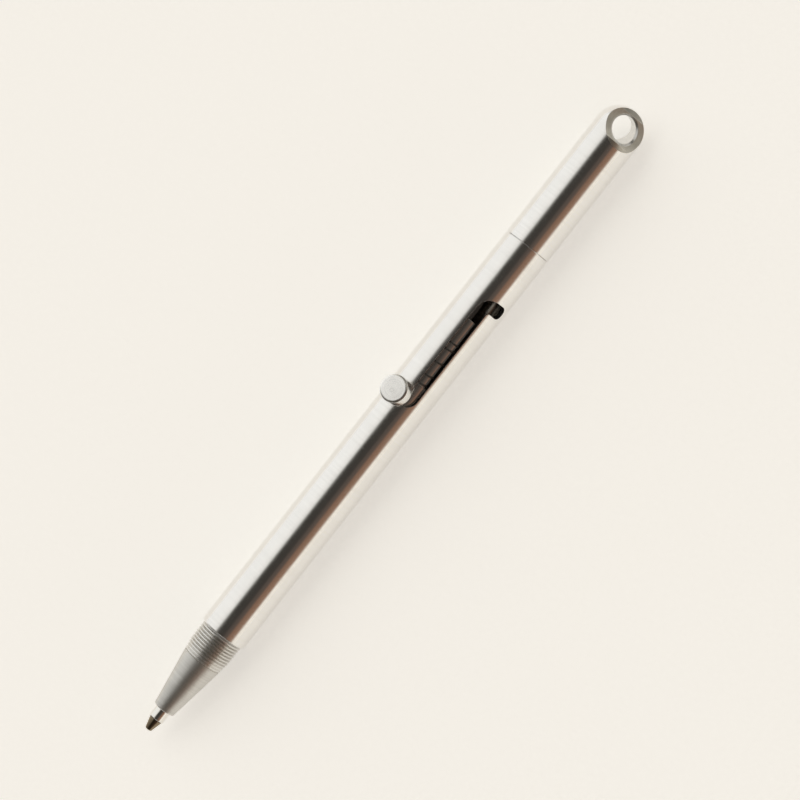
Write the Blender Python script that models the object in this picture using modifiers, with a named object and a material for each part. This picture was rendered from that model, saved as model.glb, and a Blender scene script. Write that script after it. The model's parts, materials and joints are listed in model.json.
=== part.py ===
"""Keyring pen with a bolt action: slotted barrel, screwed nose and tail, sprung plunger, bolt and refill.

Everything is modelled in a pen frame: Z runs along the pen from nose to tail with 0 at the barrel's front
face, X points up through the bolt at rest, and angles about the pen go from X towards Y.
"""

from math import cos, pi, radians, sin, sqrt

import bmesh
import bpy
import numpy as np
from mathutils import Vector

MM = 0.001

# Barrel
BARREL_DIA = 8.0 * MM
BARREL_LENGTH = 76.45 * MM
BARREL_WALL = 0.85 * MM
BARREL_FRONT_ROUND = 0.45 * MM

# Nose
NOSE_LENGTH = 15.15 * MM
NOSE_MOUTH_WALL = 0.39 * MM
NOSE_MOUTH_ROUND = 0.2 * MM
NOSE_LEAD_IN = 0.8 * MM
GRIP_LENGTH = 5.0 * MM
GRIP_STEP = 0.42 * MM
RIB_COUNT = 10
RIB_ROOT_STEP = 0.78 * MM
CONE_BASE_STEP = 0.71 * MM

# Screwed spigots on the nose and on the tail
SPIGOT_LENGTH = 6.2 * MM
SPIGOT_END_ROOM = 0.3 * MM
THREAD_WALL = 0.5 * MM
THREAD_PITCH = 0.8 * MM
THREAD_DEPTH = 0.2 * MM

# Tail and keyring eye
TAIL_LENGTH = 26.75 * MM
ROD_END_ROOM = 2.5 * MM
EYE_DIA = 4.4 * MM
EYE_FROM_END = 3.4 * MM
EYE_TURN = radians(41.5)
EYE_EDGE_THICKNESS = 2.26 * MM
SCALLOP_RADIUS = 9.3 * MM

# Bolt slot: a front notch, a straight run and a rear pocket
SLOT_WIDTH = 2.0 * MM
NOTCH_ROOM_AHEAD = 0.58 * MM
BOLT_TRAVEL = 18.9 * MM
RUN_TURN = radians(28.6)
POCKET_TURN = radians(66.5)
FRONT_BEND = 0.7 * MM
REAR_BEND = 1.5 * MM
SLOT_INNER_ROUND = 0.45 * MM
SLOT_END_ROUND = 0.95 * MM

# Bolt
STEM_PAST_AXIS = 1.6 * MM
NECK_DIA = 2.6 * MM
HEAD_DIA = 4.52 * MM
HEAD_FACE_DIA = 4.0 * MM
HEAD_THICKNESS = 2.4 * MM
HEAD_CHAMFER = 0.25 * MM
HEAD_UNDER_CHAMFER = 0.12 * MM
HEAD_ABOVE_BARREL = 3.9 * MM

# Plunger
COLLAR_AHEAD = 6.8 * MM
COLLAR_BEHIND = 2.7 * MM
ROD_LENGTH = 12.7 * MM
ROD_CHAMFER = 0.3 * MM
SOCKET_WALL_TO_STEM = 0.6 * MM

# Buffer spring on the plunger's rod
SPRING_SPACE = 0.55 * MM
WIRE_DIA = 0.33 * MM
SPRING_TURNS = 4.3
SPRING_PITCH = 2.55 * MM
SPRING_END_PITCH = 0.8 * MM
FRONT_EASE_TURNS = 1.25
REAR_EASE_TURNS = 0.4
REAR_CLOSED_TURNS = 0.8
POINTS_PER_CURL = 14

# Refill
REFILL_DIA = 2.5 * MM
REFILL_WALL = 0.3 * MM
TUBE_PAST_NOSE = 1.85 * MM
POINT_LENGTH = 2.1 * MM
POINT_STEP = 0.15 * MM
POINT_TIP_DIA = 1.1 * MM
POINT_SHANK_LENGTH = 4.0 * MM
INK_CHANNEL_DIA = 0.4 * MM
BALL_DIA = 0.8 * MM
BALL_PROUD = 0.2 * MM
TUBE_EMPTY_LENGTH = 14.0 * MM

# Clearances
FACE_GAP = 0.1 * MM
SPIGOT_CLEARANCE = 0.1 * MM
PLUNGER_CLEARANCE = 0.15 * MM
ROD_CLEARANCE = 0.2 * MM
STEM_CLEARANCE = 0.1 * MM
SLOT_CLEARANCE = 0.15 * MM
NOTCH_CLEARANCE = 0.2 * MM
POCKET_CLEARANCE = 0.25 * MM
REFILL_CLEARANCE = 0.15 * MM
SHANK_CLEARANCE = 0.1 * MM
BALL_CLEARANCE = 0.03 * MM
NECK_LIFT = 0.3 * MM
CUT_MARGIN = 2.0 * MM
WELD = 0.001 * MM

# Facets
SIDES = 32
SMALL_SIDES = 20
BALL_SIDES = 12
ARC_STEPS = 6
EDGE_STEPS = 3

# Worked out from the sizes above
BARREL_R = BARREL_DIA / 2
BORE_R = BARREL_R - BARREL_WALL
FLAT_SHARE = cos(pi / SIDES)
SMALL_FLAT_SHARE = cos(pi / SMALL_SIDES)
THREAD_BORE_R = BARREL_R - THREAD_WALL
SPIGOT_R = THREAD_BORE_R * FLAT_SHARE - SPIGOT_CLEARANCE
SPIGOT_ROOT_R = SPIGOT_R - THREAD_DEPTH
PLUNGER_R = BORE_R * FLAT_SHARE - PLUNGER_CLEARANCE
ROD_R = BORE_R - SPRING_SPACE
SPRING_R = BORE_R - SPRING_SPACE / 2
STEM_R = SLOT_WIDTH / 2 - SLOT_CLEARANCE
REFILL_R = REFILL_DIA / 2
REFILL_BORE_R = REFILL_R + REFILL_CLEARANCE
INK_BORE_R = REFILL_R - REFILL_WALL
BALL_R = BALL_DIA / 2
TAIL_START = BARREL_LENGTH + FACE_GAP
TAIL_END = BARREL_LENGTH + TAIL_LENGTH
NOSE_END = -NOSE_LENGTH
TUBE_FRONT = NOSE_END - TUBE_PAST_NOSE
POINT_FRONT = TUBE_FRONT - POINT_LENGTH
TIP_END = POINT_FRONT - BALL_PROUD
BALL_CENTRE = TIP_END + BALL_R
SPRING_PRESSED = (SPRING_TURNS + 1) * WIRE_DIA
PLUNGER_BACK = BARREL_LENGTH - SPIGOT_LENGTH - FACE_GAP - SPRING_PRESSED
BOLT_AT = PLUNGER_BACK - COLLAR_BEHIND - BOLT_TRAVEL
COLLAR_FRONT = BOLT_AT - COLLAR_AHEAD
COLLAR_REAR = BOLT_AT + COLLAR_BEHIND
ROD_REAR = COLLAR_REAR + ROD_LENGTH
SOCKET_END = BOLT_AT - STEM_R - SOCKET_WALL_TO_STEM
TUBE_REAR = SOCKET_END - FACE_GAP
AXIS_HEIGHT = BARREL_R * FLAT_SHARE
MIDDLE = (TIP_END + TAIL_END) / 2


def clear_scene():
    for obj in list(bpy.data.objects):
        bpy.data.objects.remove(obj, do_unlink=True)


def new_collection(name):
    collection = bpy.data.collections.new(name)
    bpy.context.scene.collection.children.link(collection)
    return collection


def metal(name, colour, roughness, metallic=1.0):
    material = bpy.data.materials.new(name)
    material.use_nodes = True
    shader = material.node_tree.nodes["Principled BSDF"]
    shader.inputs["Base Color"].default_value = (*colour, 1.0)
    shader.inputs["Roughness"].default_value = roughness
    shader.inputs["Metallic"].default_value = metallic
    return material


def place(obj, collection, location=(0.0, 0.0, 0.0), rotation=(0.0, 0.0, 0.0)):
    """Hangs an object on the pen frame."""
    collection.objects.link(obj)
    obj.parent = pen_frame
    obj.location = location
    obj.rotation_euler = rotation
    return obj


def turned(name, profile, material, closed, sides=SIDES):
    """A turned piece. The profile's (radius, height) points run top to bottom down its outer side."""
    mesh = bpy.data.meshes.new(name)
    points = [(radius, 0.0, height) for radius, height in profile]
    edges = [(i, i + 1) for i in range(len(points) - 1)]
    if closed:
        edges.append((len(points) - 1, 0))
    mesh.from_pydata(points, edges, [])
    mesh.materials.append(material)
    obj = bpy.data.objects.new(name, mesh)
    screw = obj.modifiers.new("turn", "SCREW")
    screw.axis = "Z"
    screw.steps = sides
    screw.render_steps = sides
    screw.use_merge_vertices = True
    screw.merge_threshold = WELD
    return obj


def cut(obj, cutter):
    boolean = obj.modifiers.new(cutter.name, "BOOLEAN")
    boolean.operation = "DIFFERENCE"
    boolean.solver = "EXACT"
    boolean.object = cutter


def as_cutter(obj, location=(0.0, 0.0, 0.0), rotation=(0.0, 0.0, 0.0)):
    place(obj, cutters, location, rotation)
    obj.hide_render = True
    obj.display_type = "WIRE"
    return obj


def cylinder_cutter(name, radius, length, sides, location, rotation):
    mesh = bpy.data.meshes.new(name)
    shape = bmesh.new()
    bmesh.ops.create_cone(
        shape, cap_ends=True, segments=sides, radius1=radius, radius2=radius, depth=length
    )
    shape.to_mesh(mesh)
    shape.free()
    return as_cutter(bpy.data.objects.new(name, mesh), location, rotation)


def arc(centre, radius, start, end, steps=ARC_STEPS):
    angles = np.linspace(start, end, steps + 1)
    return [(centre[0] + radius * cos(a), centre[1] + radius * sin(a)) for a in angles]


def thread_profile(radius, start, end):
    """A screw thread from the higher end down, as rings: root, crest, root and so on."""
    count = int((start - end) / THREAD_PITCH)
    points = [(radius - THREAD_DEPTH, start)]
    for ring in range(count):
        crest = start - (ring + 0.5) * THREAD_PITCH
        points.append((radius, crest))
        points.append((radius - THREAD_DEPTH, crest - THREAD_PITCH / 2))
    return points


def rounded_outline(corners):
    """Points of an outline whose corners are right angles, each (x, y, rounding)."""
    points = []
    for i, (x, y, rounding) in enumerate(corners):
        corner = Vector((x, y))
        back = (Vector(corners[i - 1][:2]) - corner).normalized()
        ahead = (Vector(corners[(i + 1) % len(corners)][:2]) - corner).normalized()
        centre = corner + (back + ahead) * rounding
        for a in np.linspace(0.0, pi / 2, ARC_STEPS + 1):
            points.append(centre - (ahead * cos(a) + back * sin(a)) * rounding)
    return points


def slot_cutter():
    """The slot's outline, drawn flat on the barrel's skin and wrapped round the pen."""
    half = SLOT_WIDTH / 2
    run = BARREL_R * RUN_TURN
    pocket = BARREL_R * POCKET_TURN
    notch_front = BOLT_AT - STEM_R - NOTCH_ROOM_AHEAD
    notch_rear = BOLT_AT + STEM_R + NOTCH_CLEARANCE
    pocket_front = BOLT_AT + BOLT_TRAVEL - STEM_R - POCKET_CLEARANCE
    pocket_rear = BOLT_AT + BOLT_TRAVEL + STEM_R + POCKET_CLEARANCE
    end_round = min(SLOT_END_ROUND, (pocket_rear - pocket_front) / 2 - WELD)
    outline = rounded_outline(
        [
            (-half, notch_front, end_round),
            (run + half, notch_front, half + FRONT_BEND),
            (run + half, pocket_front, SLOT_INNER_ROUND),
            (pocket + half, pocket_front, end_round),
            (pocket + half, pocket_rear, end_round),
            (run - half, pocket_rear, half + REAR_BEND),
            (run - half, notch_rear, SLOT_INNER_ROUND),
            (-half, notch_rear, end_round),
        ]
    )
    curve = bpy.data.curves.new("bolt_slot_outline", "CURVE")
    curve.dimensions = "2D"
    curve.fill_mode = "BOTH"
    inner = SPRING_R
    outer = BARREL_R + CUT_MARGIN
    curve.extrude = (outer - inner) / 2
    spline = curve.splines.new("POLY")
    spline.points.add(len(outline) - 1)
    for point, (x, y) in zip(spline.points, outline):
        point.co = (x, y, 0.0, 1.0)
    spline.use_cyclic_u = True
    flat = bpy.data.objects.new("bolt_slot_outline", curve)
    cutters.objects.link(flat)
    graph = bpy.context.evaluated_depsgraph_get()
    mesh = bpy.data.meshes.new_from_object(flat.evaluated_get(graph))
    bpy.data.objects.remove(flat, do_unlink=True)

    shape = bmesh.new()
    shape.from_mesh(mesh)
    bmesh.ops.remove_doubles(shape, verts=shape.verts, dist=WELD)
    for vert in shape.verts:
        along_skin, along_pen, depth = vert.co
        # The slot's sides stay square to the bolt, so its width is the same at every depth.
        bolt_at = np.interp(along_skin, [0.0, run - half, run + half, pocket], [0.0, run, run, pocket])
        aside = along_skin - bolt_at
        angle = bolt_at / BARREL_R
        radius = depth + (outer + inner) / 2
        vert.co = (
            radius * cos(angle) - aside * sin(angle),
            radius * sin(angle) + aside * cos(angle),
            along_pen,
        )
    bmesh.ops.triangulate(shape, faces=shape.faces)
    bmesh.ops.recalc_face_normals(shape, faces=shape.faces)
    shape.to_mesh(mesh)
    shape.free()
    return as_cutter(bpy.data.objects.new("bolt_slot", mesh))


def make_barrel():
    front_seat = SPIGOT_LENGTH + SPIGOT_END_ROOM
    rear_seat = BARREL_LENGTH - front_seat
    profile = [(BARREL_R, BARREL_LENGTH)]
    edge_centre = (BARREL_R - BARREL_FRONT_ROUND, BARREL_FRONT_ROUND)
    profile += arc(edge_centre, BARREL_FRONT_ROUND, 0.0, -pi / 2, EDGE_STEPS)
    profile += [
        (THREAD_BORE_R, 0.0),
        (THREAD_BORE_R, front_seat),
        (BORE_R, front_seat),
        (BORE_R, rear_seat),
        (THREAD_BORE_R, rear_seat),
        (THREAD_BORE_R, BARREL_LENGTH),
    ]
    barrel = place(turned("barrel", profile, steel, closed=True), parts, rotation=facet_down)
    cut(barrel, slot_cutter())


def grip_profile(cone_base, mouth):
    """The ribbed band from its rear end forward: root, crest and so on. Its crests run out along the cone."""
    pitch = GRIP_LENGTH / RIB_COUNT
    front = -FACE_GAP - GRIP_LENGTH
    slope = (cone_base - mouth) / (front - NOSE_END)
    points = []
    for rib in range(RIB_COUNT):
        middle = -FACE_GAP - (rib + 0.5) * pitch
        points.append((BARREL_R - RIB_ROOT_STEP, middle + pitch / 2))
        points.append((min(BARREL_R - GRIP_STEP, cone_base + slope * (middle - front)), middle))
    return points


def make_nose():
    cone_base = BARREL_R - CONE_BASE_STEP
    mouth = REFILL_BORE_R + NOSE_MOUTH_WALL
    profile = thread_profile(SPIGOT_R, SPIGOT_LENGTH, 0.0)
    profile.append((SPIGOT_ROOT_R, -FACE_GAP))
    profile += grip_profile(cone_base, mouth)
    profile.append((cone_base, -GRIP_LENGTH - FACE_GAP))
    edge_centre = (mouth - NOSE_MOUTH_ROUND, NOSE_END + NOSE_MOUTH_ROUND)
    profile += arc(edge_centre, NOSE_MOUTH_ROUND, 0.0, -pi / 2, EDGE_STEPS)
    profile.append((REFILL_BORE_R, NOSE_END))
    profile.append((REFILL_BORE_R, SPIGOT_LENGTH - NOSE_LEAD_IN))
    profile.append((REFILL_BORE_R + NOSE_LEAD_IN, SPIGOT_LENGTH))
    place(turned("nose_cone", profile, matt_steel, closed=True), parts, rotation=facet_down)


def make_tail():
    spigot_front = BARREL_LENGTH - SPIGOT_LENGTH
    bore = ROD_R + ROD_CLEARANCE
    bore_end = ROD_REAR + BOLT_TRAVEL + ROD_END_ROOM
    profile = arc((0.0, TAIL_END - BARREL_R), BARREL_R, pi / 2, 0.0, 2 * ARC_STEPS)
    profile[0] = (0.0, TAIL_END)
    profile.append((BARREL_R, TAIL_START))
    profile.append((SPIGOT_ROOT_R, TAIL_START))
    profile += thread_profile(SPIGOT_R, BARREL_LENGTH, spigot_front)
    profile.append((SPIGOT_ROOT_R, spigot_front))
    profile.append((bore, spigot_front))
    profile.append((bore, bore_end))
    profile.append((0.0, bore_end))
    tail = place(turned("tail_cap", profile, steel, closed=False), parts, rotation=facet_down)

    across_eye = (0.0, pi / 2, EYE_TURN)
    through = 2 * (BARREL_R + CUT_MARGIN)
    eye_at = (0.0, 0.0, TAIL_END - EYE_FROM_END)
    cut(tail, cylinder_cutter("eye_hole", EYE_DIA / 2, through, SIDES, eye_at, across_eye))
    beside_eye = (0.0, pi / 2, EYE_TURN + pi / 2)
    for side, name in ((1, "eye_scallop_front"), (-1, "eye_scallop_back")):
        offset = side * (EYE_EDGE_THICKNESS / 2 + SCALLOP_RADIUS)
        at = (offset * cos(EYE_TURN), offset * sin(EYE_TURN), TAIL_END)
        cut(tail, cylinder_cutter(name, SCALLOP_RADIUS, through, 2 * SIDES, at, beside_eye))


def make_plunger():
    profile = [
        (0.0, ROD_REAR),
        (ROD_R - ROD_CHAMFER, ROD_REAR),
        (ROD_R, ROD_REAR - ROD_CHAMFER),
        (ROD_R, COLLAR_REAR),
        (PLUNGER_R, COLLAR_REAR),
        (PLUNGER_R, COLLAR_FRONT),
        (REFILL_BORE_R, COLLAR_FRONT),
        (REFILL_BORE_R, SOCKET_END),
        (0.0, SOCKET_END),
    ]
    plunger = place(turned("plunger", profile, steel, closed=False), parts, rotation=facet_down)
    hole_bottom = -STEM_PAST_AXIS - STEM_CLEARANCE
    hole_top = PLUNGER_R + CUT_MARGIN
    cutter = cylinder_cutter(
        "stem_hole",
        STEM_R + STEM_CLEARANCE,
        hole_top - hole_bottom,
        SMALL_SIDES,
        ((hole_top + hole_bottom) / 2, 0.0, BOLT_AT),
        (0.0, pi / 2, 0.0),
    )
    cut(plunger, cutter)


def make_bolt():
    face = BARREL_R + HEAD_ABOVE_BARREL
    under_head = face - HEAD_THICKNESS
    neck_end = BARREL_R + NECK_LIFT
    profile = [
        (0.0, face),
        (HEAD_FACE_DIA / 2, face),
        (HEAD_DIA / 2, face - HEAD_CHAMFER),
        (HEAD_DIA / 2, under_head + HEAD_UNDER_CHAMFER),
        (HEAD_DIA / 2 - HEAD_UNDER_CHAMFER, under_head),
        (NECK_DIA / 2, under_head),
        (NECK_DIA / 2, neck_end),
        (STEM_R, neck_end),
        (STEM_R, -STEM_PAST_AXIS),
        (0.0, -STEM_PAST_AXIS),
    ]
    bolt = turned("bolt_knob", profile, bright_steel, closed=False)
    place(bolt, parts, (0.0, 0.0, BOLT_AT), (0.0, pi / 2, 0.0))


def spring_pitch(turn):
    """Advance per turn: closer at the two ends, open between them."""
    closed_from = SPRING_TURNS - REAR_CLOSED_TURNS
    stations = [0.0, FRONT_EASE_TURNS, closed_from - REAR_EASE_TURNS, closed_from]
    return np.interp(turn, stations, [SPRING_END_PITCH, SPRING_PITCH, SPRING_PITCH, SPRING_END_PITCH])


def spring_points():
    count = round(SPRING_TURNS * POINTS_PER_CURL)
    turns = np.linspace(0.0, SPRING_TURNS, count + 1)
    height = COLLAR_REAR + FACE_GAP + WIRE_DIA / 2
    points = []
    for i, turn in enumerate(turns):
        if i:
            height += spring_pitch((turn + turns[i - 1]) / 2) * (turn - turns[i - 1])
        angle = 2 * pi * turn
        points.append((SPRING_R * cos(angle), SPRING_R * sin(angle), height))
    return np.array(points)


def make_spring():
    points = spring_points()
    curve = bpy.data.curves.new("buffer_spring", "CURVE")
    curve.dimensions = "3D"
    curve.bevel_depth = WIRE_DIA / 2
    curve.bevel_resolution = 1
    curve.use_fill_caps = True
    spline = curve.splines.new("POLY")
    spline.points.add(len(points) - 1)
    for point, co in zip(spline.points, points):
        point.co = (*co, 1.0)
    curve.materials.append(bright_steel)
    place(bpy.data.objects.new("buffer_spring", curve), parts)

    apart = np.linalg.norm(points[:, None] - points[None], axis=2)
    index = np.arange(len(points))
    far_along = np.abs(index[:, None] - index[None]) > POINTS_PER_CURL / 2
    gap = apart[far_along].min() - WIRE_DIA
    print(f"buffer_spring: least gap to itself {gap / MM:.2f} mm")


def make_refill():
    tube = [
        (REFILL_R, TUBE_REAR),
        (REFILL_R, TUBE_FRONT),
        (INK_BORE_R, TUBE_FRONT),
        (INK_BORE_R, TUBE_REAR),
    ]
    place(turned("refill_tube", tube, bright_steel, closed=True, sides=SMALL_SIDES), parts)

    shank_r = INK_BORE_R * SMALL_FLAT_SHARE - SHANK_CLEARANCE
    shank_rear = TUBE_FRONT + POINT_SHANK_LENGTH
    shoulder = TUBE_FRONT - FACE_GAP
    channel = INK_CHANNEL_DIA / 2
    cup = BALL_R + BALL_CLEARANCE
    lip = sqrt(BALL_R**2 - (BALL_R - BALL_PROUD) ** 2) + BALL_CLEARANCE
    point = [
        (shank_r, shank_rear),
        (shank_r, shoulder),
        (REFILL_R - POINT_STEP, shoulder),
        (POINT_TIP_DIA / 2, POINT_FRONT),
        (lip, POINT_FRONT),
        (cup, BALL_CENTRE),
        (cup, BALL_CENTRE + cup),
        (channel, BALL_CENTRE + cup),
        (channel, shank_rear),
    ]
    place(turned("refill_point", point, point_steel, closed=True, sides=SMALL_SIDES), parts)

    ball_profile = arc((0.0, 0.0), BALL_R, pi / 2, -pi / 2, ARC_STEPS)
    ball_profile[0] = (0.0, BALL_R)
    ball_profile[-1] = (0.0, -BALL_R)
    ball = turned("tip_ball", ball_profile, bright_steel, closed=False, sides=BALL_SIDES)
    place(ball, parts, (0.0, 0.0, BALL_CENTRE))

    ink_front = shank_rear + FACE_GAP
    ink_rear = TUBE_REAR - TUBE_EMPTY_LENGTH
    ink = [
        (0.0, ink_rear),
        (shank_r, ink_rear),
        (shank_r, ink_front),
        (0.0, ink_front),
    ]
    place(turned("ink_column", ink, ink_black, closed=False, sides=SMALL_SIDES), parts)


clear_scene()
parts = new_collection("keyring_pen")
cutters = new_collection("cutters")

steel = metal("satin_steel", (0.78, 0.76, 0.73), 0.28)
matt_steel = metal("turned_steel", (0.62, 0.60, 0.57), 0.42)
bright_steel = metal("bright_steel", (0.82, 0.81, 0.79), 0.22)
point_steel = metal("point_nickel_silver", (0.55, 0.48, 0.40), 0.25)
ink_black = metal("ink_black", (0.02, 0.02, 0.03), 0.40, metallic=0.0)

# The pen lies on the ground on one facet, with the bolt up and the nose towards -X.
pen_frame = bpy.data.objects.new("pen_frame", None)
bpy.context.scene.collection.objects.link(pen_frame)
pen_frame.location = (-MIDDLE, 0.0, AXIS_HEIGHT)
pen_frame.rotation_euler = (pi, -pi / 2, 0.0)
facet_down = (0.0, 0.0, pi / SIDES)

make_barrel()
make_nose()
make_tail()
make_plunger()
make_bolt()
make_spring()
make_refill()
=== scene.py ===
"""Looks of the keyring pen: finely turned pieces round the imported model, on a pale floor in soft light."""

import json
from math import cos, pi, radians, sin, sqrt

import bmesh
import bpy
import numpy as np
from mathutils import Matrix, Vector


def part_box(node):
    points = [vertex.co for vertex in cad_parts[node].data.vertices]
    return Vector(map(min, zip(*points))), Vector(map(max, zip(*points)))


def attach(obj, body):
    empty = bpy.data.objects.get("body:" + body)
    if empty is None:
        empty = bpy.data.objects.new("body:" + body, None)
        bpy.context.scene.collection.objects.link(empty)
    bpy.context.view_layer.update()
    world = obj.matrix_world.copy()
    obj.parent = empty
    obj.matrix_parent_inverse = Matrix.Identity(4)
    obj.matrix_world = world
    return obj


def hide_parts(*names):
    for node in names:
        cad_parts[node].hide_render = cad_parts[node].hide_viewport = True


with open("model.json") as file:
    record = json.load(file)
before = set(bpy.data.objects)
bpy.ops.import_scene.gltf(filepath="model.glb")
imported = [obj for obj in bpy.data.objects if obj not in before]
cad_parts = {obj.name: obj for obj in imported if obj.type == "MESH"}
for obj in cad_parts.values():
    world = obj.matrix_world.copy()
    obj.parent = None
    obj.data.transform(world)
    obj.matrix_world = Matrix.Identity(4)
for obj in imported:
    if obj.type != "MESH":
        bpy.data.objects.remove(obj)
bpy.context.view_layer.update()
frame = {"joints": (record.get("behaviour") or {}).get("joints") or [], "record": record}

MM = 0.001
PEN = Vector((1.0, 0.0, 0.0))


def along_pen(node):
    low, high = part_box(node)
    return low.x, high.x


def half_width(node):
    low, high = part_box(node)
    return (high.y - low.y) / 2


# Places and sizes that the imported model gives
JOINTS = {joint["name"]: joint for joint in frame["joints"]}
MOUNTS = {mount["name"]: mount for mount in frame["record"]["mounts"]}
BOLT_X, _, AXIS_Z = JOINTS["bolt_turn"]["pos_m"]
BALL_X = JOINTS["ball_roll"]["pos_m"][0]
RUN_TURN = radians(JOINTS["bolt_turn"]["range_deg"][1])
EYE_CENTRE = Vector(MOUNTS["keyring_eye"]["pos_m"])
EYE_AXIS = Vector(MOUNTS["keyring_eye"]["axis"]).normalized()
EYE_ACROSS = EYE_AXIS.cross(PEN)
ON_AXIS = Vector((0.0, 0.0, AXIS_Z))
BARREL_FRONT, BARREL_REAR = along_pen("barrel")
NOSE_END, NOSE_REAR = along_pen("nose_cone")
TAIL_FRONT, TAIL_END = along_pen("tail_cap")
COLLAR_FRONT, ROD_END = along_pen("plunger")
TUBE_FRONT, TUBE_REAR = along_pen("refill_tube")
POINT_FRONT, SHANK_REAR = along_pen("refill_point")
INK_FRONT, INK_REAR = along_pen("ink_column")
KNOB_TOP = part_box("bolt_knob")[1].z
STEM_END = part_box("bolt_knob")[0].z
REFILL_R = half_width("refill_tube")
INK_R = half_width("ink_column")
BALL_R = (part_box("tip_ball")[1].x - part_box("tip_ball")[0].x) / 2
BARREL_R = AXIS_Z

# Barrel and its slot
BORE_R = BARREL_R - 0.83 * MM
SEAT_R = BARREL_R - 0.48 * MM
FRONT_ROUND = 0.25 * MM
JOINT_EDGE = 0.05 * MM
FACE_GAP = 0.1 * MM
SLOT_WIDTH = 2.0 * MM
BOLT_TRAVEL = 18.9 * MM
POCKET_TURN = radians(66.5)
NOTCH_AHEAD = 0.58 * MM
NOTCH_BEHIND = 0.2 * MM
POCKET_ROOM = 0.25 * MM
FRONT_BEND = 0.7 * MM
REAR_BEND = 1.5 * MM
INNER_ROUND = 0.45 * MM
END_ROUND = 0.95 * MM
SLOT_CHAMFER = 0.03 * MM
# Steps of the slot's edge, in chamfers: height from the barrel's skin, and growth of the slot
SLOT_EDGE_STEPS = [(-1.0, 0.0), (-0.35, 0.35), (0.3, 1.3)]
SIDE_MARGIN = 1.0 * MM
BORE_MARGIN = 0.01 * MM

# Screw threads
THREAD_PITCH = 0.8 * MM
THREAD_DEPTH = 0.22 * MM
GROOVE_DEPTH = 0.12 * MM
SPIGOT_R = SEAT_R - 0.12 * MM
THREAD_RUN_OUT = 0.7 * MM
THREAD_LEAD = 0.2 * MM
SEAT_ROOM = 0.3 * MM
RINGS_PER_PITCH = 6

# Nose
GRIP_LENGTH = 5.11 * MM
GRIP_NECK = 0.12 * MM
GRIP_R = BARREL_R - 0.4 * MM
RIB_COUNT = 10
RIB_ROOT_R = BARREL_R - 0.77 * MM
FIRST_ROOT_R = (GRIP_R + RIB_ROOT_R) / 2
RIB_FLAT = 0.17 * MM
RIB_LEAST = 0.15 * MM
CONE_BASE_R = BARREL_R - 0.69 * MM
CONE_STEP = 0.08 * MM
CONE_STEP_EDGE = 0.02 * MM
MOUTH_WALL = 0.39 * MM
MOUTH_ROUND = 0.22 * MM
MOUTH_BORE_EDGE = 0.05 * MM
REFILL_ROOM = 0.15 * MM
LEAD_IN = 0.8 * MM

# Tail and its eye
ROD_BORE_R = 2.8 * MM
ROD_BORE_END = BARREL_REAR + 7.1 * MM
ROD_BORE_LEAD_IN = 0.3 * MM
EYE_R = 2.12 * MM
EYE_CHAMFER = 0.33 * MM
EYE_CHAMFER_DEPTH = 0.30 * MM
# Steps of the eye's edge: height from the scallop in chamfer depths, and growth of the hole in chamfers
EYE_EDGE_STEPS = [(-1.2, 0.0), (-0.9, 0.08), (0.0, 0.95), (1.0, 1.95)]
EYE_EDGE_THICKNESS = 2.26 * MM
SCALLOP_R = 9.3 * MM

# Bolt
STEM_R = 0.85 * MM
NECK_R = 1.3 * MM
NECK_LIFT = 0.3 * MM
HEAD_R = half_width("bolt_knob")
HEAD_FACE_R = HEAD_R - 0.31 * MM
HEAD_THICKNESS = 2.4 * MM
HEAD_CHAMFER = 0.175 * MM
HEAD_FACE_EDGE = 0.07 * MM
HEAD_RIM_EDGE = 0.06 * MM
HEAD_UNDER_EDGE = 0.14 * MM
STEM_EDGE = 0.1 * MM
MARK_OFFSET = (-0.38 * MM, 0.05 * MM)
MARK_R = 0.28 * MM

# Plunger and spring
COLLAR_R = half_width("plunger")
COLLAR_REAR = BOLT_X + 2.7 * MM
COLLAR_EDGE = 0.06 * MM
ROD_R = 2.6 * MM
ROD_EDGE = 0.1 * MM
SOCKET_END = TUBE_REAR + FACE_GAP
SOCKET_LEAD_IN = 0.2 * MM
STEM_HOLE_R = 0.95 * MM
STEM_HOLE_ROOM = 0.1 * MM
SPRING_R = 2.875 * MM
WIRE_R = 0.165 * MM
SPRING_TURNS = 4.3
SPRING_PITCH = 2.55 * MM
SPRING_END_PITCH = 0.8 * MM
FRONT_EASE_TURNS = 1.25
REAR_EASE_TURNS = 0.4
REAR_CLOSED_TURNS = 0.8
POINTS_PER_CURL = 40

# Refill
TUBE_BORE_R = REFILL_R - 0.3 * MM
TUBE_EDGE = 0.12 * MM
TUBE_REAR_EDGE = 0.08 * MM
SHANK_EDGE = 0.15 * MM
POINT_STEP = 0.15 * MM
POINT_STEP_EDGE = 0.05 * MM
POINT_TIP_R = 0.55 * MM
POINT_LIP = 0.12 * MM
INK_CHANNEL_R = 0.2 * MM
INK_REAR_EDGE = 0.2 * MM
INK_HOLLOW = 0.3 * MM
BALL_ROOM = 0.03 * MM

# Facets
SEGMENTS = 96
SMALL_SEGMENTS = 64
BALL_SEGMENTS = 32
CORNER_STEPS = 5
ARC_STEPS = 8
DOME_STEPS = 28
WIRE_STEPS = 3
SKIN_STEP = 0.25 * MM
RING_STEP = 2.0 * MM
CUT_MARGIN = 2.0 * MM
FIT = 0.006 * MM
WELD = 0.0001 * MM
SHARP = radians(32)
FINE_SHARP = radians(15)


def soften(corners):
    """Profile points with each corner, (place, radius, cut), rounded over the length of its cut."""
    points = []
    for i, (place, radius, cut) in enumerate(corners):
        corner = Vector((place, radius))
        if not cut:
            points.append((place, radius))
            continue
        before = (Vector(corners[i - 1][:2]) - corner).normalized()
        after = (Vector(corners[(i + 1) % len(corners)][:2]) - corner).normalized()
        for t in np.linspace(0.0, 1.0, CORNER_STEPS + 1):
            points.append(tuple(corner + before * cut * (1 - t) ** 2 + after * cut * t**2))
    return points


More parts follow.
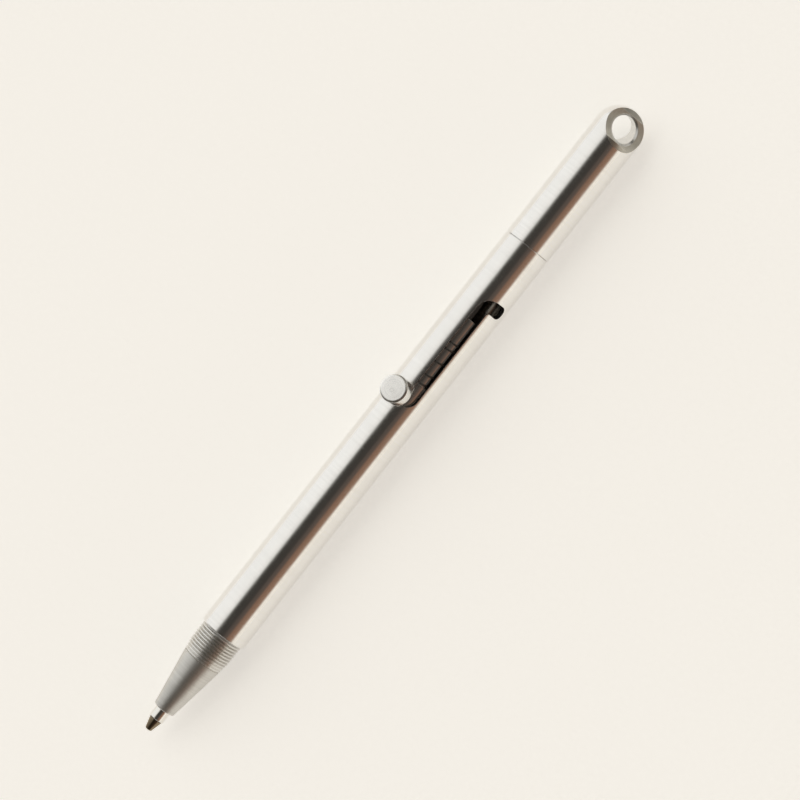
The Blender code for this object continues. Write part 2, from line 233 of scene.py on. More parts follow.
def thread(start, end, radius, depth):
    """Rings of a screw thread; a ring's third number is how deep the thread cuts there."""
    count = round(abs(end - start) / THREAD_PITCH * RINGS_PER_PITCH)
    rings = []
    for place in np.linspace(start, end, count + 1):
        fade = min(1.0, min(abs(place - start), abs(place - end)) / THREAD_RUN_OUT)
        rings.append((place, radius, depth * fade))
    return rings


def straight(start, end, radius):
    """Rings along a plain cylinder, a few millimetres apart."""
    count = max(1, round(abs(end - start) / RING_STEP))
    return [(place, radius) for place in np.linspace(start, end, count + 1)]


def link(name, mesh, *materials):
    for material in materials:
        mesh.materials.append(material)
    obj = bpy.data.objects.new(name, mesh)
    bpy.context.scene.collection.objects.link(obj)
    return obj


def turned_mesh(name, profile, to_world, segments):
    """Turns (place, radius[, thread depth]) points about an axis.

    The profile closes unless it ends on the axis.
    """
    shape = bmesh.new()
    rings = []
    for place, radius, *depth in profile:
        if radius < WELD:
            rings.append([shape.verts.new(to_world(place, 0.0, 0.0))])
            continue
        ring = []
        for k in range(segments):
            angle = 2 * pi * k / segments
            groove = 0.0
            if depth:
                phase = 2 * pi * place / THREAD_PITCH - angle
                groove = depth[0] * (1 - cos(phase)) / 2
            ring.append(shape.verts.new(to_world(place, radius + groove, angle)))
        rings.append(ring)
    if len(rings[0]) > 1:
        rings.append(rings[0])
    for one, two in zip(rings, rings[1:]):
        for k in range(segments):
            corners = [one[k % len(one)], one[(k + 1) % len(one)], two[(k + 1) % len(two)], two[k % len(two)]]
            distinct = list(dict.fromkeys(corners))
            if len(distinct) > 2:
                shape.faces.new(distinct)
    bmesh.ops.remove_doubles(shape, verts=shape.verts, dist=WELD)
    bmesh.ops.recalc_face_normals(shape, faces=shape.faces)
    mesh = bpy.data.meshes.new(name)
    shape.to_mesh(mesh)
    shape.free()
    return mesh


def on_pen(place, radius, angle):
    """Angles go from the bolt's side, up, towards the camera's side, -Y."""
    return Vector((place, -radius * sin(angle), AXIS_Z + radius * cos(angle)))


def on_bolt(place, radius, angle):
    return Vector((BOLT_X + radius * cos(angle), radius * sin(angle), place))


def lathe(name, profile, *materials, to_world=on_pen, segments=SEGMENTS):
    return link(name, turned_mesh(name, profile, to_world, segments), *materials)


def cut(obj, cutter):
    """Takes the cutter out of the piece, and removes it."""
    boolean = obj.modifiers.new("cut", "BOOLEAN")
    boolean.operation = "DIFFERENCE"
    boolean.solver = "EXACT"
    boolean.object = cutter
    graph = bpy.context.evaluated_depsgraph_get()
    mesh = bpy.data.meshes.new_from_object(obj.evaluated_get(graph))
    obj.modifiers.clear()
    obj.data = mesh
    bpy.data.objects.remove(cutter, do_unlink=True)


def cutter_from(name, shape, slot):
    """A cutter whose faces leave the piece's material of that slot."""
    bmesh.ops.recalc_face_normals(shape, faces=shape.faces)
    if shape.calc_volume(signed=True) < 0:
        bmesh.ops.reverse_faces(shape, faces=shape.faces)
    mesh = bpy.data.meshes.new(name)
    shape.to_mesh(mesh)
    shape.free()
    mesh.polygons.foreach_set("material_index", [slot] * len(mesh.polygons))
    return link(name, mesh)


def bridge(shape, rings):
    """Walls between rings of equally many points, with both ends closed."""
    for one, two in zip(rings, rings[1:]):
        for k in range(len(one)):
            after = (k + 1) % len(one)
            shape.faces.new([one[k], one[after], two[after], two[k]])
    ends = [shape.faces.new(rings[0]), shape.faces.new(rings[-1])]
    bmesh.ops.triangulate(shape, faces=ends, ngon_method="BEAUTY")


def cylinder_surface(point, direction, radius):
    """For a place, its gap from a cylinder and the cylinder's normal there."""

    def measure(place):
        spoke = place - point
        spoke = spoke - direction * spoke.dot(direction)
        return spoke.length - radius, spoke.normalized()

    return measure


def sphere_surface(centre, radius):
    def measure(place):
        spoke = place - centre
        return spoke.length - radius, spoke.normalized()

    return measure


def smooth(obj, *surfaces, sharp=SHARP):
    """Smooth shading with sharp edges.

    Faces on one of the surfaces get its normals, so cuts leave no marks.
    """
    mesh = obj.data
    mesh.polygons.foreach_set("use_smooth", [True] * len(mesh.polygons))
    mesh.set_sharp_from_angle(angle=sharp)
    if not surfaces:
        return
    normals = [corner.vector.copy() for corner in mesh.corner_normals]
    for face in mesh.polygons:
        places = [mesh.vertices[v].co for v in face.vertices]
        for surface in surfaces:
            found = [surface(place) for place in places]
            if all(abs(gap) < FIT for gap, _ in found):
                side = 1 if found[0][1].dot(face.normal) > 0 else -1
                for loop, (_, normal) in zip(face.loop_indices, found):
                    normals[loop] = normal * side
                break
    mesh.normals_split_custom_set(normals)


def stands_for(obj, node, body):
    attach(obj, body)
    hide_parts(node)


class Nodes:
    """Short ways to add and link shader nodes."""

    def __init__(self, tree):
        self.tree = tree

    def feed(self, socket, value):
        if isinstance(value, bpy.types.NodeSocket):
            self.tree.links.new(value, socket)
        else:
            socket.default_value = value

    def add(self, kind, inputs=None, **settings):
        node = self.tree.nodes.new(kind)
        for name, value in settings.items():
            setattr(node, name, value)
        for name, value in (inputs or {}).items():
            self.feed(node.inputs[name], value)
        return node

    def math(self, operation, *values):
        return self.add("ShaderNodeMath", dict(enumerate(values)), operation=operation).outputs[0]

    def vector(self, operation, *values):
        return self.add("ShaderNodeVectorMath", dict(enumerate(values)), operation=operation).outputs

    def noise(self, place, scale, detail=2.0, roughness=0.5):
        inputs = {"Vector": place, "Scale": scale, "Detail": detail, "Roughness": roughness}
        return self.add("ShaderNodeTexNoise", inputs).outputs["Fac"]

    def place(self):
        return self.add("ShaderNodeTexCoord").outputs["Object"]

    def stretch(self, place, scale):
        return self.add("ShaderNodeMapping", {"Vector": place, "Scale": scale}).outputs["Vector"]

    def between(self, value, low, high, source=(0.3, 0.7)):
        inputs = {"Value": value, "From Min": source[0], "From Max": source[1], "To Min": low, "To Max": high}
        return self.add("ShaderNodeMapRange", inputs).outputs["Result"]

    def sum(self, one, share, two):
        """A weighted mean of two patterns."""
        return self.math("MULTIPLY_ADD", one, share, self.math("MULTIPLY", two, 1.0 - share))

    def blend(self, share, one, two):
        node = self.add("ShaderNodeMix", data_type="RGBA")
        self.feed(node.inputs["Factor"], share)
        for name, colour in (("A", one), ("B", two)):
            socket = next(s for s in node.inputs if s.name == name and s.type == "RGBA")
            self.feed(socket, colour if isinstance(colour, bpy.types.NodeSocket) else (*colour, 1.0))
        return next(s for s in node.outputs if s.type == "RGBA")


def new_material(name):
    material = bpy.data.materials.new(name)
    material.use_nodes = True
    return material, Nodes(material.node_tree), material.node_tree.nodes["Principled BSDF"]


# Repeats of the surface patterns in a metre
SMUDGE_SCALE = 260.0
SPECKLE_SCALE = 9000.0
FACE_RING_SCALE = 7000.0
FACE_CLOUD_SCALE = 900.0
MILL_MARK_SCALE = (900.0, 4200.0, 4200.0)
MILL_CLOUD_SCALE = 700.0
INK_CLOUD_SCALE = 1500.0
FLOOR_GRAIN_SCALE = 1800.0

# How the surface patterns mix
LINES_ROUND_PEN = 0.012
LINES_IN_TONE = 0.6
LINES_IN_RELIEF = 0.7
LINES_ON_FACE = 0.5
MARKS_IN_MILLING = 0.6
MARK_STRENGTH = 0.35
MARK_WIDTH = 0.3 * MARK_R


def turned(lines_per_mm):
    """Turning marks: change fast along the pen and slowly round it, under faint handling marks."""

    def pattern(nodes):
        place = nodes.place()
        fast = lines_per_mm / MM
        slow = LINES_ROUND_PEN * fast
        lines = nodes.noise(nodes.stretch(place, (fast, slow, slow)), 1.0, detail=4.0, roughness=0.65)
        smudge = nodes.noise(place, SMUDGE_SCALE, detail=5.0, roughness=0.6)
        speckle = nodes.noise(place, SPECKLE_SCALE, detail=1.0)
        tone = nodes.sum(lines, LINES_IN_TONE, smudge)
        relief = nodes.sum(lines, LINES_IN_RELIEF, speckle)
        return tone, relief

    return pattern


def faced(nodes):
    """The bolt's turning marks: rings on its face, lines round its side and a small ring off its middle."""
    place = nodes.place()
    from_bolt = nodes.vector("SUBTRACT", place, (BOLT_X, 0.0, 0.0))[0]
    parts = nodes.add("ShaderNodeSeparateXYZ", {0: from_bolt}).outputs
    flat = nodes.add("ShaderNodeCombineXYZ", {"X": parts["X"], "Y": parts["Y"]}).outputs[0]
    out = nodes.vector("LENGTH", flat)["Value"]
    out_and_up = nodes.add("ShaderNodeCombineXYZ", {"X": out, "Y": parts["Z"]}).outputs[0]
    lines = nodes.noise(out_and_up, FACE_RING_SCALE, detail=3.0, roughness=0.6)
    cloud = nodes.noise(place, FACE_CLOUD_SCALE, detail=4.0, roughness=0.6)
    from_mark = nodes.vector("DISTANCE", flat, (*MARK_OFFSET, 0.0))["Value"]
    off_ring = nodes.math("ABSOLUTE", nodes.math("SUBTRACT", from_mark, MARK_R))
    ring = nodes.between(off_ring, MARK_STRENGTH, 0.0, source=(0.0, MARK_WIDTH))
    marks = nodes.sum(lines, LINES_ON_FACE, cloud)
    return nodes.math("ADD", marks, ring), nodes.math("SUBTRACT", marks, ring)


def milled(nodes):
    """Short marks that a milling cutter leaves, over a cloudy matt surface."""
    place = nodes.place()
    marks = nodes.noise(nodes.stretch(place, MILL_MARK_SCALE), 1.0, detail=4.0, roughness=0.7)
    cloud = nodes.noise(place, MILL_CLOUD_SCALE, detail=4.0, roughness=0.6)
    both = nodes.sum(marks, MARKS_IN_MILLING, cloud)
    return both, both


# Worn edges and surface relief
EDGE_WEAR = 0.07 * MM
FINE_EDGE = 0.02 * MM
WIDE_EDGE = 0.12 * MM
EDGE_COLOUR = (0.93, 0.92, 0.90)
EDGE_TURN = (0.82, 0.985)
EDGE_SAMPLES = 6
WORN_ROUGHNESS = 0.75
RELIEF = 0.006 * MM


def metal(name, pattern, colour, tint, roughness, spread, relief, edge=EDGE_WEAR):
    """Metal that varies from colour to tint and in roughness with a pattern, polished along its edges."""
    material, nodes, shader = new_material(name)
    share, height = pattern(nodes)
    rounded = nodes.add("ShaderNodeBevel", {"Radius": edge}, samples=EDGE_SAMPLES).outputs["Normal"]
    true = nodes.add("ShaderNodeNewGeometry").outputs["Normal"]
    alike = nodes.vector("DOT_PRODUCT", rounded, true)["Value"]
    wear = nodes.between(alike, 1.0, 0.0, source=EDGE_TURN)
    plain = nodes.blend(nodes.between(share, 0.0, 1.0), colour, tint)
    rough = nodes.between(share, roughness - spread, roughness + spread)
    polish = nodes.between(wear, 1.0, WORN_ROUGHNESS, source=(0.0, 1.0))
    relief_inputs = {"Height": height, "Strength": relief, "Distance": RELIEF, "Normal": rounded}
    bump = nodes.add("ShaderNodeBump", relief_inputs)
    shader.inputs["Metallic"].default_value = 1.0
    nodes.feed(shader.inputs["Base Color"], nodes.blend(wear, plain, EDGE_COLOUR))
    nodes.feed(shader.inputs["Roughness"], nodes.math("MULTIPLY", rough, polish))
    nodes.feed(shader.inputs["Normal"], bump.outputs["Normal"])
    return material


# Ink
INK_COLOUR = (0.010, 0.010, 0.016)
INK_TINT = (0.028, 0.028, 0.040)
INK_ROUGHNESS = (0.25, 0.45)


def ink_paste(name):
    material, nodes, shader = new_material(name)
    cloud = nodes.noise(nodes.place(), INK_CLOUD_SCALE, detail=4.0)
    dark = nodes.blend(nodes.between(cloud, 0.0, 1.0), INK_COLOUR, INK_TINT)
    nodes.feed(shader.inputs["Base Color"], dark)
    nodes.feed(shader.inputs["Roughness"], nodes.between(cloud, *INK_ROUGHNESS))
    return material


# Finishes
satin = metal(
    "satin_turned_metal", turned(5.0),
    colour=(0.91, 0.895, 0.87), tint=(0.83, 0.815, 0.79),
    roughness=0.18, spread=0.06, relief=0.12, edge=FINE_EDGE,
)
sliding = metal(
    "sliding_metal", turned(5.0),
    colour=(0.88, 0.865, 0.84), tint=(0.78, 0.765, 0.74),
    roughness=0.2, spread=0.06, relief=0.12, edge=FINE_EDGE,
)
dull = metal(
    "dull_turned_metal", turned(4.0),
    colour=(0.76, 0.745, 0.71), tint=(0.63, 0.615, 0.585),
    roughness=0.45, spread=0.08, relief=0.3, edge=FINE_EDGE,
)
ribbed = metal(
    "ribbed_metal", turned(4.0),
    colour=(0.82, 0.805, 0.775), tint=(0.72, 0.705, 0.675),
    roughness=0.34, spread=0.06, relief=0.15, edge=FINE_EDGE,
)
bright = metal(
    "bright_drawn_metal", turned(4.0),
    colour=(0.88, 0.86, 0.82), tint=(0.80, 0.78, 0.74),
    roughness=0.14, spread=0.04, relief=0.06,
)
# Spring wire coloured far darker than bare steel, so that each coil reads as a dark line: painted shade along
# the coils.
wire = metal(
    "spring_wire", turned(6.0),
    colour=(0.25, 0.24, 0.225), tint=(0.17, 0.16, 0.15),
    roughness=0.18, spread=0.05, relief=0.05, edge=FINE_EDGE,
)
nickel = metal(
    "point_nickel_silver", turned(6.0),
    colour=(0.30, 0.24, 0.165), tint=(0.20, 0.155, 0.10),
    roughness=0.11, spread=0.04, relief=0.1,
)
knob_metal = metal(
    "faced_metal", faced,
    colour=(0.95, 0.94, 0.915), tint=(0.87, 0.855, 0.83),
    roughness=0.26, spread=0.07, relief=0.2,
)
scallop_metal = metal(
    "milled_metal", milled,
    colour=(0.64, 0.62, 0.56), tint=(0.48, 0.46, 0.41),
    roughness=0.42, spread=0.08, relief=0.4, edge=WIDE_EDGE,
)
# The slot's walls: milled metal, coloured dark as painted shade inside the slot.
slot_wall_painted_shade = metal(
    "slot_milled_metal", milled,
    colour=(0.24, 0.225, 0.205), tint=(0.16, 0.15, 0.14),
    roughness=0.42, spread=0.08, relief=0.4, edge=FINE_EDGE,
)
# Bores: bored metal, duller than the outside, and darker still as painted shade in the pen's hollows.
bore_painted_shade_metal = metal(
    "bored_metal", milled,
    colour=(0.48, 0.467, 0.447), tint=(0.40, 0.388, 0.37),
    roughness=0.16, spread=0.06, relief=0.3,
)
hole_metal = metal(
    "drilled_metal", milled,
    colour=(0.80, 0.79, 0.765), tint=(0.70, 0.69, 0.665),
    roughness=0.3, spread=0.06, relief=0.3,
)
ink_black = ink_paste("ink_paste")

RUN = BARREL_R * RUN_TURN
POCKET = BARREL_R * POCKET_TURN


def slot_outline(grow):
    """The slot drawn flat on the barrel's skin, wider all round by grow."""
    half = SLOT_WIDTH / 2 + grow
    notch_front = BOLT_X - STEM_R - NOTCH_AHEAD - grow
    notch_rear = BOLT_X + STEM_R + NOTCH_BEHIND + grow
    pocket_front = BOLT_X + BOLT_TRAVEL - STEM_R - POCKET_ROOM - grow
    pocket_rear = BOLT_X + BOLT_TRAVEL + STEM_R + POCKET_ROOM + grow
    corners = [
        (-half, notch_front, END_ROUND + grow),
        (RUN + half, notch_front, half + FRONT_BEND),
        (RUN + half, pocket_front, INNER_ROUND - grow),
        (POCKET + half, pocket_front, END_ROUND + grow),
        (POCKET + half, pocket_rear, END_ROUND + grow),
        (RUN - half, pocket_rear, half + REAR_BEND),
        (RUN - half, notch_rear, INNER_ROUND - grow),
        (-half, notch_rear, END_ROUND + grow),
    ]
    points = []
    for i, (x, y, rounding) in enumerate(corners):
        corner = Vector((x, y))
        back = (Vector(corners[i - 1][:2]) - corner).normalized()
        ahead = (Vector(corners[(i + 1) % len(corners)][:2]) - corner).normalized()
        centre = corner + (back + ahead) * rounding
        for a in np.linspace(0.0, pi / 2, ARC_STEPS + 1):
            points.append(centre - (ahead * cos(a) + back * sin(a)) * rounding)
    return points


def wrap(point):
    """From the flat skin, (round the barrel, along it, radius), onto the pen.

    The sides stay square to the bolt.
    """
    round_skin, along, radius = point
    half = SLOT_WIDTH / 2
    bolt_at = np.interp(round_skin, [0.0, RUN - half, RUN + half, POCKET], [0.0, RUN, RUN, POCKET])
    aside = round_skin - bolt_at
    angle = bolt_at / BARREL_R
    out = radius * cos(angle) - aside * sin(angle)
    over = radius * sin(angle) + aside * cos(angle)
    return Vector((along, -over, AXIS_Z + out))


def slot_cutter(slot):
    """The slot's shape from within the bore to outside the barrel, with its edge chamfered."""
    levels = [(SPRING_R, 0.0)]
    for lift, grow in SLOT_EDGE_STEPS:
        levels.append((BARREL_R + lift * SLOT_CHAMFER, grow * SLOT_CHAMFER))
    levels.append((BARREL_R + CUT_MARGIN, levels[-1][1]))
    shape = bmesh.new()
    rings = []
    for radius, grow in levels:
        rings.append([shape.verts.new((*point, radius)) for point in slot_outline(grow)])
    bridge(shape, rings)
    for place in np.arange(-SLOT_WIDTH, POCKET + SLOT_WIDTH, SKIN_STEP):
        parts = [*shape.verts, *shape.edges, *shape.faces]
        bmesh.ops.bisect_plane(shape, geom=parts, dist=WELD, plane_co=(place, 0.0, 0.0), plane_no=PEN)
    for vert in shape.verts:
        vert.co = wrap(vert.co)
    bmesh.ops.triangulate(shape, faces=shape.faces)
    return cutter_from("slot_cutter", shape, slot)


def refinish(obj, slot, chosen):
    """Gives the chosen faces that slot's material, apart from faces that a cut has left."""
    for face in obj.data.polygons:
        if chosen(face.center) and not face.material_index:
            face.material_index = slot


def in_bore(radius, end=TAIL_END):
    """Tells whether a place is nearer the pen's axis than the radius, and ahead of the bore's end."""

    def chosen(place):
        off_axis = Vector((place.y, place.z - AXIS_Z)).length
        return off_axis < radius and place.x < end

    return chosen


def make_barrel():
    front_seat = NOSE_REAR + SEAT_ROOM
    rear_seat = TAIL_FRONT - SEAT_ROOM
    shoulder = BARREL_FRONT + FRONT_ROUND
    profile = soften(
        [
            (BARREL_FRONT, SEAT_R, 0.0),
            (BARREL_FRONT, BARREL_R, FRONT_ROUND),
            (BARREL_REAR, BARREL_R, JOINT_EDGE),
            (BARREL_REAR, SEAT_R, 0.0),
        ]
    )
    long_side = straight(shoulder + SIDE_MARGIN, BARREL_REAR - SIDE_MARGIN, BARREL_R)
    rear_corner = profile.index((BARREL_REAR, SEAT_R)) - CORNER_STEPS - 1
    profile[rear_corner:rear_corner] = long_side
    profile += thread(BARREL_REAR - THREAD_LEAD, rear_seat + THREAD_LEAD, SEAT_R, GROOVE_DEPTH)
    profile += [(rear_seat, SEAT_R), (rear_seat, BORE_R)]
    profile += straight(rear_seat - THREAD_LEAD, front_seat + THREAD_LEAD, BORE_R)
    profile += [(front_seat, BORE_R), (front_seat, SEAT_R)]
    profile += thread(front_seat - THREAD_LEAD, BARREL_FRONT + THREAD_LEAD, SEAT_R, GROOVE_DEPTH)
    barrel = lathe("barrel_tube", profile, satin, slot_wall_painted_shade, bore_painted_shade_metal)
    cut(barrel, slot_cutter(slot=1))
    refinish(barrel, 2, in_bore(SEAT_R))
    smooth(barrel, cylinder_surface(ON_AXIS, PEN, BARREL_R), cylinder_surface(ON_AXIS, PEN, BORE_R))
    stands_for(barrel, "barrel", "barrel")


def grip_profile(grip_front, mouth):
    """The ribbed band from its rear end forward, with narrow crests. They run out along the cone."""
    pitch = GRIP_LENGTH / RIB_COUNT
    slope = (CONE_BASE_R - mouth) / (grip_front - NOSE_END)
    points = []
    for rib in range(RIB_COUNT):
        middle = grip_front + GRIP_LENGTH - (rib + 0.5) * pitch
        crest = min(GRIP_R, CONE_BASE_R + slope * (middle - grip_front))
        root = min(RIB_ROOT_R, crest - RIB_LEAST) if rib else FIRST_ROOT_R
        points.append((middle + pitch / 2, root))
        points.append((middle + RIB_FLAT / 2, crest))
        points.append((middle - RIB_FLAT / 2, crest))
    return points


def make_nose():
    bore = REFILL_R + REFILL_ROOM
    mouth = bore + MOUTH_WALL
    root = SPIGOT_R - THREAD_DEPTH
    grip_rear = BARREL_FRONT - FACE_GAP - GRIP_NECK
    grip_front = grip_rear - GRIP_LENGTH
    profile = [(NOSE_REAR, bore + LEAD_IN), (NOSE_REAR, root)]
    profile += thread(NOSE_REAR - THREAD_LEAD, BARREL_FRONT + SEAT_ROOM, root, THREAD_DEPTH)
    profile += [(BARREL_FRONT - FACE_GAP, root), (BARREL_FRONT - FACE_GAP, FIRST_ROOT_R)]
    profile += grip_profile(grip_front, mouth)
    profile += soften(
        [
            (grip_front, CONE_BASE_R - RIB_LEAST, 0.0),
            (grip_front - CONE_STEP, CONE_BASE_R, CONE_STEP_EDGE),
            (NOSE_END, mouth, MOUTH_ROUND),
            (NOSE_END, bore, MOUTH_BORE_EDGE),
            (NOSE_REAR - LEAD_IN, bore, 0.0),
        ]
    )
    nose = lathe("nose_turned", profile, dull, bore_painted_shade_metal, ribbed)
    refinish(nose, 1, in_bore(bore + BORE_MARGIN))
    refinish(nose, 2, lambda place: grip_front < place.x < grip_rear)
    refinish(nose, 2, lambda place: place.x < NOSE_END + MOUTH_ROUND)
    smooth(nose)
    stands_for(nose, "nose_cone", "nose")


def scallop_height(place):
    """Half the eye's thickness at a place along the pen."""
    return EYE_EDGE_THICKNESS / 2 + SCALLOP_R - sqrt(SCALLOP_R**2 - (TAIL_END - place) ** 2)


def eye_cutter(slot):
    """The eye's hole, with an even chamfer along the curved faces that it comes out of."""
    levels = [(-1, *step) for step in reversed(EYE_EDGE_STEPS)] + [(1, *step) for step in EYE_EDGE_STEPS]
    shape = bmesh.new()
    rings = []
    for side, lift, grow in levels:
        ring = []
        for k in range(SEGMENTS):
            angle = 2 * pi * k / SEGMENTS
            radius = EYE_R + grow * EYE_CHAMFER
            spoke = (PEN * cos(angle) + EYE_ACROSS * sin(angle)) * radius
            height = scallop_height(EYE_CENTRE.x + spoke.x) + lift * EYE_CHAMFER_DEPTH
            ring.append(shape.verts.new(EYE_CENTRE + spoke + EYE_AXIS * side * height))
        rings.append(ring)
    bridge(shape, rings)
    return cutter_from("eye_cutter", shape, slot)


def scallop_centre(side):
    offset = side * (EYE_EDGE_THICKNESS / 2 + SCALLOP_R)
    return Vector((TAIL_END, 0.0, AXIS_Z)) + EYE_AXIS * offset


def scallop_cutter(side, slot):
    shape = bmesh.new()
    rings = []
    for end in (-1, 1):
        middle = scallop_centre(side) + EYE_ACROSS * end * (BARREL_R + CUT_MARGIN)
        ring = []
        for k in range(2 * SEGMENTS):
            angle = pi * k / SEGMENTS
            spoke = (PEN * cos(angle) + EYE_AXIS * sin(angle)) * SCALLOP_R
            ring.append(shape.verts.new(middle + spoke))
        rings.append(ring)
    bridge(shape, rings)
    return cutter_from("scallop_cutter", shape, slot)


def make_tail():
    face = BARREL_REAR + FACE_GAP
    dome = TAIL_END - BARREL_R
    root = SPIGOT_R - THREAD_DEPTH
    profile = [(ROD_BORE_END, 0.0), (ROD_BORE_END, ROD_BORE_R), (TAIL_FRONT + ROD_BORE_LEAD_IN, ROD_BORE_R)]
    profile += [(TAIL_FRONT, ROD_BORE_R + ROD_BORE_LEAD_IN), (TAIL_FRONT, root)]
    profile += thread(TAIL_FRONT + THREAD_LEAD, BARREL_REAR - SEAT_ROOM, root, THREAD_DEPTH)
    profile += soften([(face, root, 0.0), (face, BARREL_R, JOINT_EDGE), (TAIL_END, BARREL_R, 0.0)])[:-1]
    profile += straight(face + 2 * JOINT_EDGE, dome, BARREL_R)
    for angle in np.linspace(0.0, pi / 2, DOME_STEPS + 1)[1:-1]:
        profile.append((dome + BARREL_R * sin(angle), BARREL_R * cos(angle)))
    profile.append((TAIL_END, 0.0))
    tail = lathe("tail_with_eye", profile, satin, scallop_metal, hole_metal, bore_painted_shade_metal)
    for side in (-1, 1):
        cut(tail, scallop_cutter(side, slot=1))
    cut(tail, eye_cutter(slot=2))
    refinish(tail, 3, in_bore(ROD_BORE_R + BORE_MARGIN, end=ROD_BORE_END + FACE_GAP))
    smooth(
        tail,
        cylinder_surface(ON_AXIS, PEN, BARREL_R),
        sphere_surface(Vector((dome, 0.0, AXIS_Z)), BARREL_R),
        cylinder_surface(scallop_centre(-1), EYE_ACROSS, SCALLOP_R),
        cylinder_surface(scallop_centre(1), EYE_ACROSS, SCALLOP_R),
        sharp=FINE_SHARP,
    )
    stands_for(tail, "tail_cap", "tail")


def make_plunger():
    bore = REFILL_R + REFILL_ROOM
    profile = soften(
        [
            (SOCKET_END, 0.0, 0.0),
            (SOCKET_END, bore, 0.0),
            (COLLAR_FRONT, bore, SOCKET_LEAD_IN),
            (COLLAR_FRONT, COLLAR_R, COLLAR_EDGE),
            (COLLAR_REAR, COLLAR_R, COLLAR_EDGE),
            (COLLAR_REAR, ROD_R, 0.0),
            (ROD_END, ROD_R, ROD_EDGE),
            (ROD_END, 0.0, 0.0),
        ]
    )
    plunger = lathe("plunger_rod", profile, sliding)
    hole_end = STEM_END - STEM_HOLE_ROOM
    hole_top = AXIS_Z + BARREL_R
    hole = [(hole_end, 0.0), (hole_end, STEM_HOLE_R), (hole_top, STEM_HOLE_R), (hole_top, 0.0)]
    cut(plunger, lathe("stem_hole", hole, to_world=on_bolt, segments=SMALL_SEGMENTS))
    smooth(plunger, cylinder_surface(ON_AXIS, PEN, COLLAR_R))
    stands_for(plunger, "plunger", "bolt")


def make_bolt():
    under_head = KNOB_TOP - HEAD_THICKNESS
    neck_end = AXIS_Z + BARREL_R + NECK_LIFT
    profile = soften(
        [
            (KNOB_TOP, 0.0, 0.0),
            (KNOB_TOP, HEAD_FACE_R, HEAD_FACE_EDGE),
            (KNOB_TOP - HEAD_CHAMFER, HEAD_R, HEAD_RIM_EDGE),
            (under_head, HEAD_R, HEAD_UNDER_EDGE),
            (under_head, NECK_R, STEM_EDGE),
            (neck_end, NECK_R, STEM_EDGE),
            (neck_end, STEM_R, 0.0),
            (STEM_END, STEM_R, STEM_EDGE),
            (STEM_END, 0.0, 0.0),
        ]
    )
    bolt = lathe("bolt_with_knob", profile, knob_metal, to_world=on_bolt)
    smooth(bolt)
    stands_for(bolt, "bolt_knob", "bolt")


def spring_pitch(turn):
    """Advance per turn: closer at the two ends, open between them."""
    closed_from = SPRING_TURNS - REAR_CLOSED_TURNS
    stations = [0.0, FRONT_EASE_TURNS, closed_from - REAR_EASE_TURNS, closed_from]
    return np.interp(turn, stations, [SPRING_END_PITCH, SPRING_PITCH, SPRING_PITCH, SPRING_END_PITCH])


def make_spring():
    turns = np.linspace(0.0, SPRING_TURNS, round(SPRING_TURNS * POINTS_PER_CURL) + 1)
    curve = bpy.data.curves.new("spring_wire_coil", "CURVE")
    curve.dimensions = "3D"
    curve.bevel_depth = WIRE_R
    curve.bevel_resolution = WIRE_STEPS
    curve.use_fill_caps = True
    spline = curve.splines.new("POLY")
    spline.points.add(len(turns) - 1)
    place = COLLAR_REAR + FACE_GAP + WIRE_R
    for i, turn in enumerate(turns):
        if i:
            place += spring_pitch((turn + turns[i - 1]) / 2) * (turn - turns[i - 1])
        spline.points[i].co = (*on_pen(place, SPRING_R, 2 * pi * turn), 1.0)
    spring = link("spring_wire_coil", curve, wire)
    stands_for(spring, "buffer_spring", "bolt")


def make_refill():
    tube = soften(
        [
            (TUBE_FRONT, TUBE_BORE_R, 0.0),
            (TUBE_FRONT, REFILL_R, TUBE_EDGE),
            (TUBE_REAR, REFILL_R, TUBE_REAR_EDGE),
            (TUBE_REAR, TUBE_BORE_R, 0.0),
        ]
    )
    ink_tube = lathe("ink_tube", tube, bright, segments=SMALL_SEGMENTS)
    smooth(ink_tube)
    stands_for(ink_tube, "refill_tube", "refill")

    shoulder = TUBE_FRONT - FACE_GAP
    cup = BALL_R + BALL_ROOM
    lip = sqrt(BALL_R**2 - (BALL_X - POINT_FRONT) ** 2) + BALL_ROOM
    holder = soften(
        [
            (SHANK_REAR, INK_CHANNEL_R, 0.0),
            (SHANK_REAR, INK_R, SHANK_EDGE),
            (shoulder, INK_R, 0.0),
            (shoulder, REFILL_R - POINT_STEP, POINT_STEP_EDGE),
            (POINT_FRONT, POINT_TIP_R, POINT_LIP),
            (POINT_FRONT, lip, 0.0),
            (BALL_X, cup, 0.0),
            (BALL_X + cup, cup, 0.0),
            (BALL_X + cup, INK_CHANNEL_R, 0.0),
        ]
    )
    point = lathe("point_holder", holder, nickel, segments=SMALL_SEGMENTS)
    smooth(point)
    stands_for(point, "refill_point", "refill")

    arc = [(BALL_X - BALL_R * cos(a), BALL_R * sin(a)) for a in np.linspace(0.0, pi, 2 * ARC_STEPS + 1)]
    ball = lathe("writing_ball", arc, bright, segments=BALL_SEGMENTS)
    smooth(ball)
    stands_for(ball, "tip_ball", "ball")

    column = soften(
        [
            (INK_FRONT, 0.0, 0.0),
            (INK_FRONT, INK_R, 0.0),
            (INK_REAR, INK_R, INK_REAR_EDGE),
            (INK_REAR - INK_HOLLOW, 0.0, 0.0),
        ]
    )
    ink = lathe("ink_fill", column, ink_black, segments=SMALL_SEGMENTS)
    smooth(ink)
    stands_for(ink, "ink_column", "refill")


# Stage
FLOOR_SIZE = 8.0
FLOOR_COLOUR = (0.82, 0.795, 0.745)
FLOOR_SHADE = (0.79, 0.765, 0.715)
FLOOR_ROUGHNESS = 0.9
FLOOR_SPECULAR = 0.1
FLOOR_GLOW = 0.75
BEFORE_MATT_BOUNCE = 0.5


